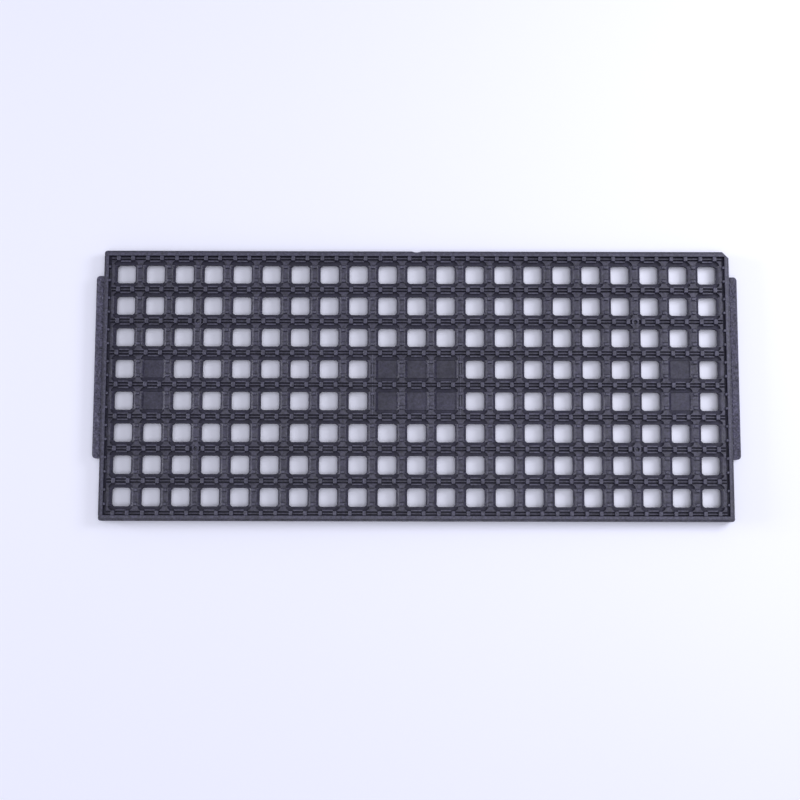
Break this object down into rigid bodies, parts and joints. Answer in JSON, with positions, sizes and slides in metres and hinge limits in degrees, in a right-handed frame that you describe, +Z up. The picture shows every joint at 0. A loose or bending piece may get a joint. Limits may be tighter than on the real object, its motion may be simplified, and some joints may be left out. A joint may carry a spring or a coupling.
{
  "type": "component matrix tray",
  "caption": "Thin stackable matrix tray with rows of square open-bottom pockets, blank pick-up pads, a stepped rim and an end tab on each end.",
  "frame": {"origin": "under the middle of the tray, on the plane it rests on", "axes": "+X along the tray's long side, +Y across it towards the notched edge, +Z up"},
  "size_m": [0.3226, 0.136, 0.0076],
  "materials": {
    "moulded_body": "matte, fine grain",
    "moulded_posts": "matte, slightly polished tops",
    "moulded_floors": "matte, flow marks",
    "moulded_tabs": "matte, coarse stipple"
  },
  "bodies": {
    "root": {"skirt_wall_far": "moulded_body", "skirt_wall_near": "moulded_body", "skirt_wall_left": "moulded_body", "skirt_wall_right": "moulded_body", "stacking_rim_far": "moulded_posts", "stacking_rim_near": "moulded_posts", "stacking_rim_left": "moulded_posts", "stacking_rim_right": "moulded_posts", "end_tab_left": "moulded_tabs", "end_tab_right": "moulded_tabs", "row_bars": "moulded_body", "column_bars": "moulded_body", "end_bars": "moulded_body", "bar_ridges": "moulded_body", "crossing_lands": "moulded_body", "pocket_edge_ridges": "moulded_body", "edge_bar_ridges": "moulded_body", "row_posts": "moulded_posts", "column_posts": "moulded_posts", "rim_posts_far": "moulded_posts", "rim_posts_near": "moulded_posts", "end_posts": "moulded_posts", "center_pad": "moulded_floors", "left_pad": "moulded_floors", "right_pad": "moulded_floors", "pad_border": "moulded_body", "locating_bosses": "moulded_body", "hold_down_ribs": "moulded_body"}
  },
  "joints": []
}
